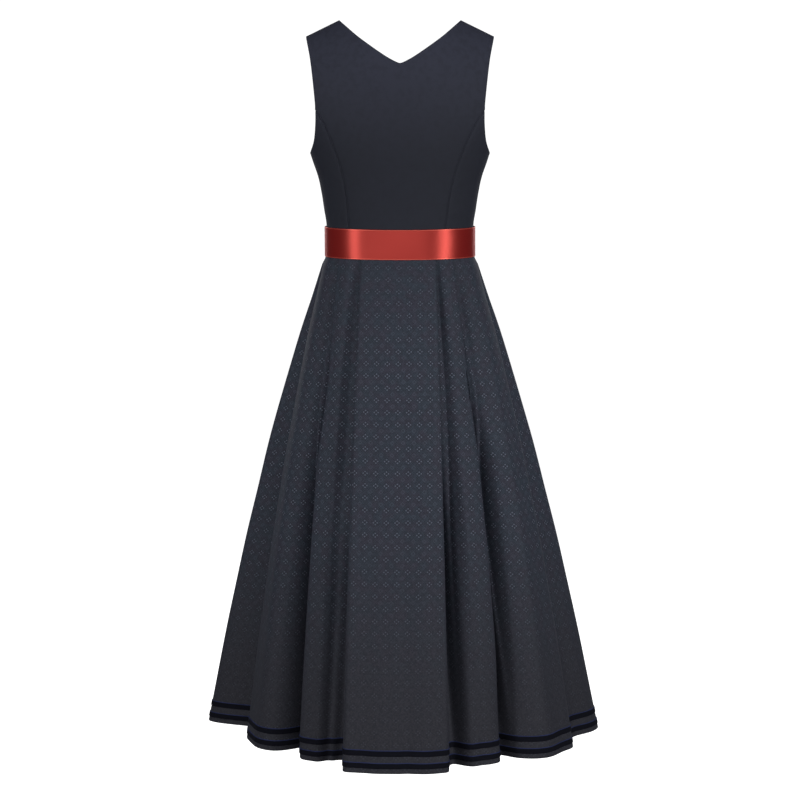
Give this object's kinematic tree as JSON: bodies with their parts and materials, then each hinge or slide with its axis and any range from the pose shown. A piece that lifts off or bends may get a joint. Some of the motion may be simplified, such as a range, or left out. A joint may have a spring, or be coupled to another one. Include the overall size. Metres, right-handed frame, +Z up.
{
  "type": "sleeveless dirndl dress",
  "caption": "Sleeveless dirndl in its hollow worn form: princess-seamed V-neck bodice, satin ribbon at the waist, long pleated flared skirt with velvet ribbon above the hem.",
  "frame": {"origin": "midway between the two shoulder seams, where the wearer's shoulders hold the dress", "axes": "+Z up; the front of the dress faces -Y; +X is the wearer's left"},
  "size_m": [0.7604, 0.5905, 1.3551],
  "materials": {
    "bodice_cloth": "smooth matte weave",
    "skirt_jacquard": "matte jacquard with small lozenges",
    "satin_ribbon": "glossy satin",
    "velvet_ribbon": "velvet pile"
  },
  "bodies": {
    "root": {"bodice_back": "bodice_cloth", "bodice_back_side_left": "bodice_cloth", "bodice_back_side_right": "bodice_cloth", "bodice_front": "bodice_cloth", "bodice_front_side_left": "bodice_cloth", "bodice_front_side_right": "bodice_cloth", "skirt_back": "skirt_jacquard", "skirt_front": "skirt_jacquard", "waist_ribbon": "satin_ribbon", "velvet_band_upper": "velvet_ribbon", "velvet_band_lower": "velvet_ribbon"}
  },
  "joints": []
}
